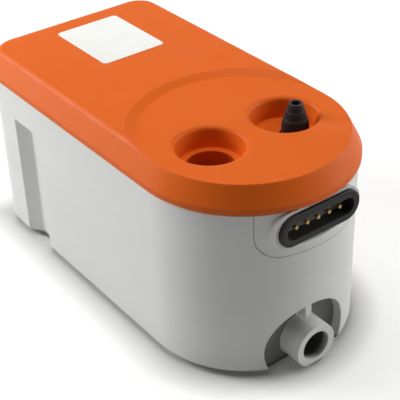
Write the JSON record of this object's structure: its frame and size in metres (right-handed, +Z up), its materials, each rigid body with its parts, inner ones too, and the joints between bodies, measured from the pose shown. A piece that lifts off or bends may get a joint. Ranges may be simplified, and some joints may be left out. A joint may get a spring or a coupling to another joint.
{
  "type": "condensate pump",
  "caption": "Box-shaped condensate pump with a rounded front: grey tank, orange lid with two recessed hose ports, connector socket and low inlet spigot.",
  "frame": {"origin": "middle of the footprint on the ground, under the feet", "axes": "+X along the length, towards the rounded front with the connector and the spigot; +Y to the right seen from behind the rear; +Z up"},
  "size_m": [0.2345, 0.12, 0.1226],
  "materials": {
    "orange_plastic": "moulded, fine satin",
    "grey_plastic": "moulded, satin",
    "black_plastic": "satin",
    "dark_grey_plastic": "satin",
    "insert_grey": "satin",
    "rubber": "matte",
    "steel": "plated",
    "copper": "enamelled copper wire",
    "brass": "turned",
    "float_foam": "closed-cell foam",
    "valve_white": "polished"
  },
  "bodies": {
    "tank": {"tank": "grey_plastic", "foot_rear_left": "rubber", "foot_rear_right": "rubber", "foot_front_left": "rubber", "foot_front_right": "rubber", "pump_deck": "black_plastic", "deck_screws": "steel", "pump_casing": "dark_grey_plastic", "suction_cover": "dark_grey_plastic", "casing_screws": "steel", "stator_core": "steel", "coil_bobbin": "insert_grey", "coil_winding": "copper", "lower_bridge": "steel", "upper_bridge": "steel", "lower_bearing": "brass", "upper_bearing": "brass", "vibration_mounts": "rubber", "motor_screws": "steel", "bridge_bolts": "steel", "discharge_hose": "rubber", "lower_hose_clip": "steel", "upper_hose_clip": "steel", "valve_body": "dark_grey_plastic", "valve_nut": "black_plastic", "adaptor_seal": "rubber", "hose_adaptor": "black_plastic", "valve_spring": "steel", "main_lever_pin": "steel", "main_switch": "black_plastic", "main_switch_bracket": "dark_grey_plastic", "alarm_lever_pin": "steel", "alarm_switch": "black_plastic", "alarm_switch_bracket": "dark_grey_plastic", "switch_screws": "steel", "connector_housing": "grey_plastic", "connector_bezel": "black_plastic", "socket_insert": "insert_grey", "contact_pins": "brass", "terminal_block": "insert_grey"},
    "rotor": {"motor_shaft": "steel", "rotor_core": "steel", "cooling_fan": "dark_grey_plastic", "impeller": "dark_grey_plastic"},
    "main_float": {"main_float": "float_foam", "main_rod": "dark_grey_plastic"},
    "main_lever": {"main_lever": "dark_grey_plastic"},
    "main_plunger": {"main_plunger": "dark_grey_plastic"},
    "alarm_float": {"alarm_float": "float_foam", "alarm_rod": "dark_grey_plastic"},
    "alarm_lever": {"alarm_lever": "dark_grey_plastic"},
    "alarm_plunger": {"alarm_plunger": "dark_grey_plastic"},
    "valve_ball": {"valve_ball": "valve_white"},
    "lid": {"lid": "orange_plastic", "rim_gasket": "rubber"}
  },
  "joints": [
    {"name": "rotor_spin", "type": "hinge", "parent": "tank", "child": "rotor", "pos_m": [-0.036, 0, 0.083], "axis": [0, 0, 1], "continuous": true},
    {"name": "main_float_rise", "type": "slide", "parent": "tank", "child": "main_float", "axis": [0, 0, 1], "range_m": [0, 0.006]},
    {"name": "main_lever_turn", "type": "hinge", "parent": "tank", "child": "main_lever", "pos_m": [-0.004, -0.032, 0.0666], "axis": [0, -1, 0], "range_deg": [0, 14.4]},
    {"name": "main_plunger_press", "type": "slide", "parent": "tank", "child": "main_plunger", "axis": [0, 0, 1], "range_m": [0, 0.0022]},
    {"name": "alarm_float_rise", "type": "slide", "parent": "tank", "child": "alarm_float", "axis": [0, 0, 1], "range_m": [0, 0.006]},
    {"name": "alarm_lever_turn", "type": "hinge", "parent": "tank", "child": "alarm_lever", "pos_m": [-0.004, -0.005, 0.0666], "axis": [0, -1, 0], "range_deg": [0, 14.4]},
    {"name": "alarm_plunger_press", "type": "slide", "parent": "tank", "child": "alarm_plunger", "axis": [0, 0, 1], "range_m": [0, 0.0022]},
    {"name": "check_ball_lift", "type": "slide", "parent": "tank", "child": "valve_ball", "axis": [0, 0, 1], "range_m": [0, 0.003], "stiffness_N_per_m": 50, "deforming": ["valve_spring"]},
    {"name": "lid_lift", "type": "slide", "parent": "tank", "child": "lid", "axis": [0, 0, 1], "range_m": [0, 0.05]}
  ],
  "couplings": [
    {"joint": "main_lever_turn", "follows": "main_float_rise", "rad_per_m": 41.667},
    {"joint": "main_plunger_press", "follows": "main_float_rise", "ratio": 0.36},
    {"joint": "alarm_lever_turn", "follows": "alarm_float_rise", "rad_per_m": 41.667},
    {"joint": "alarm_plunger_press", "follows": "alarm_float_rise", "ratio": 0.36}
  ]
}
